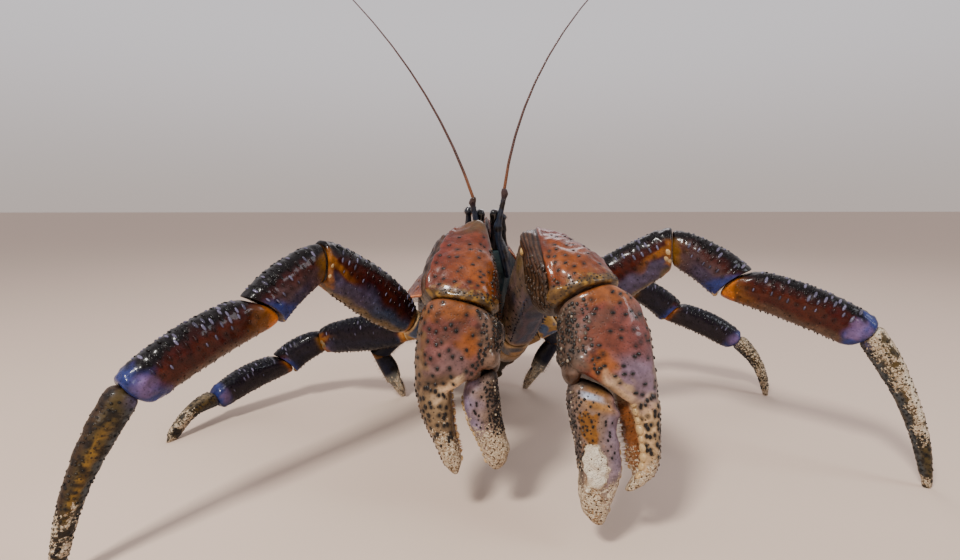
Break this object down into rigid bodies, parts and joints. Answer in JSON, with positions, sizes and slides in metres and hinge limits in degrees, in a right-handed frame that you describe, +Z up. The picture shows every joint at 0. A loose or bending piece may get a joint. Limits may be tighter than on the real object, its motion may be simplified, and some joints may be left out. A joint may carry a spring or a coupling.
{
  "type": "coconut crab",
  "caption": "Life-size coconut crab model standing on its walking legs, with heavy hanging claws, long feelers, a gabled shell and a curled tail",
  "frame": {"origin": "On the floor, at the middle of the bounding box's underside.", "axes": "+Z up, the crab faces -Y, and its left side, with the larger claw, is +X."},
  "size_m": [0.524, 0.3244, 0.3501],
  "materials": {
    "carapace_brown": "grained brown shell with orange edges, waxy",
    "claw_orange": "glossy burnt-orange shell with dark pits and tubercles",
    "finger_tan": "sand-beige shell with dark spots, satin",
    "leg_maroon": "glossy maroon shell, blue-violet below, rows of dark tubercles",
    "leg_olive": "olive shell with black spots, satin",
    "leg_navy": "glossy blue-black shell",
    "belly_blue": "grey-blue shell, satin",
    "abdomen_olive": "leathery brown-olive skin under dark plates",
    "eye_black": "wet black",
    "feeler_brown": "orange-brown, satin"
  },
  "bodies": {
    "root": {"carapace": "carapace_brown", "thorax": "belly_blue", "abdomen_1": "abdomen_olive", "abdomen_2": "abdomen_olive", "abdomen_3": "abdomen_olive", "abdomen_4": "abdomen_olive", "abdomen_5": "abdomen_olive", "telson": "abdomen_olive", "eyestalk_l": "feeler_brown", "eyestalk_r": "feeler_brown", "eye_l": "eye_black", "eye_r": "eye_black", "antennule_l": "leg_navy", "antennule_r": "leg_navy", "antenna_base_l": "leg_navy", "antenna_base_r": "leg_navy", "antenna_flagellum_l": "feeler_brown", "antenna_flagellum_r": "feeler_brown", "maxilliped_l": "belly_blue", "maxilliped_r": "belly_blue", "claw_ischium_l": "belly_blue", "claw_ischium_r": "belly_blue", "claw_merus_l": "belly_blue", "claw_merus_r": "belly_blue", "claw_carpus_l": "claw_orange", "claw_carpus_r": "claw_orange", "claw_palm_l": "claw_orange", "claw_palm_r": "claw_orange", "claw_dactyl_l": "finger_tan", "claw_dactyl_r": "finger_tan", "leg2_ischium_l": "belly_blue", "leg2_ischium_r": "belly_blue", "leg2_merus_l": "leg_maroon", "leg2_merus_r": "leg_maroon", "leg2_carpus_l": "leg_maroon", "leg2_carpus_r": "leg_maroon", "leg2_propodus_l": "leg_maroon", "leg2_propodus_r": "leg_maroon", "leg2_dactyl_l": "leg_olive", "leg2_dactyl_r": "leg_olive", "leg3_ischium_l": "belly_blue", "leg3_ischium_r": "belly_blue", "leg3_merus_l": "leg_navy", "leg3_merus_r": "leg_navy", "leg3_carpus_l": "leg_navy", "leg3_carpus_r": "leg_navy", "leg3_propodus_l": "leg_maroon", "leg3_propodus_r": "leg_maroon", "leg3_dactyl_l": "leg_olive", "leg3_dactyl_r": "leg_olive", "leg4_merus_l": "leg_navy", "leg4_merus_r": "leg_navy", "leg4_carpus_l": "leg_navy", "leg4_carpus_r": "leg_navy", "leg4_propodus_l": "leg_navy", "leg4_propodus_r": "leg_navy", "leg4_dactyl_l": "finger_tan", "leg4_dactyl_r": "finger_tan"}
  },
  "joints": []
}
